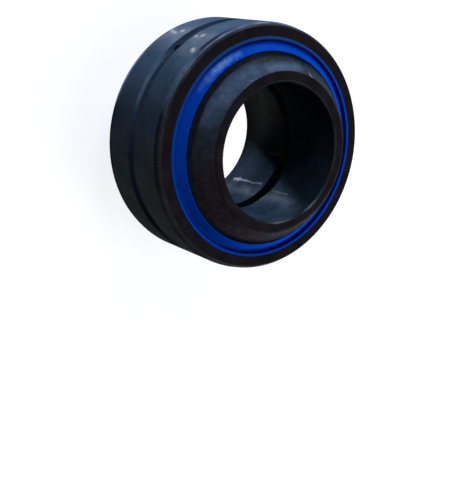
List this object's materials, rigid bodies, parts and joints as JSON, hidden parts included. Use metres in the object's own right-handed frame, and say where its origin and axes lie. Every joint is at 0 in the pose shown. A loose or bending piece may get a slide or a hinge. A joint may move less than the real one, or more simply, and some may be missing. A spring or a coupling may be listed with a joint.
{
  "type": "spherical plain bearing",
  "caption": "Radial spherical plain bearing with a wide truncated-ball inner ring, a grooved outer ring and blue lip seals; carries a shaft that swings and tilts.",
  "frame": {"origin": "centre of the ball, which is also the middle of both rings", "axes": "+Z along the bore axis, towards the upper seal; +X through a lubrication hole of the outer ring; +Y through the outer ring's crack"},
  "size_m": [0.09, 0.09, 0.056],
  "materials": {
    "ball_steel": "hardened and ground bearing steel, phosphated black and oiled, half gloss",
    "ring_steel": "hardened and ground bearing steel, phosphated black and oiled, half gloss, end faces browner and duller",
    "seal_elastomer": "moulded blue elastomer, half gloss"
  },
  "bodies": {
    "inner": {"inner_ring": "ball_steel"},
    "outer": {"outer_ring": "ring_steel", "upper_seal": "seal_elastomer", "lower_seal": "seal_elastomer"}
  },
  "joints": [
    {"name": "outer_tilt", "type": "hinge", "parent": "inner", "child": "outer", "pos_m": [0, 0, 0], "axis": [1, 0, 0], "range_deg": [-17, 17]}
  ]
}
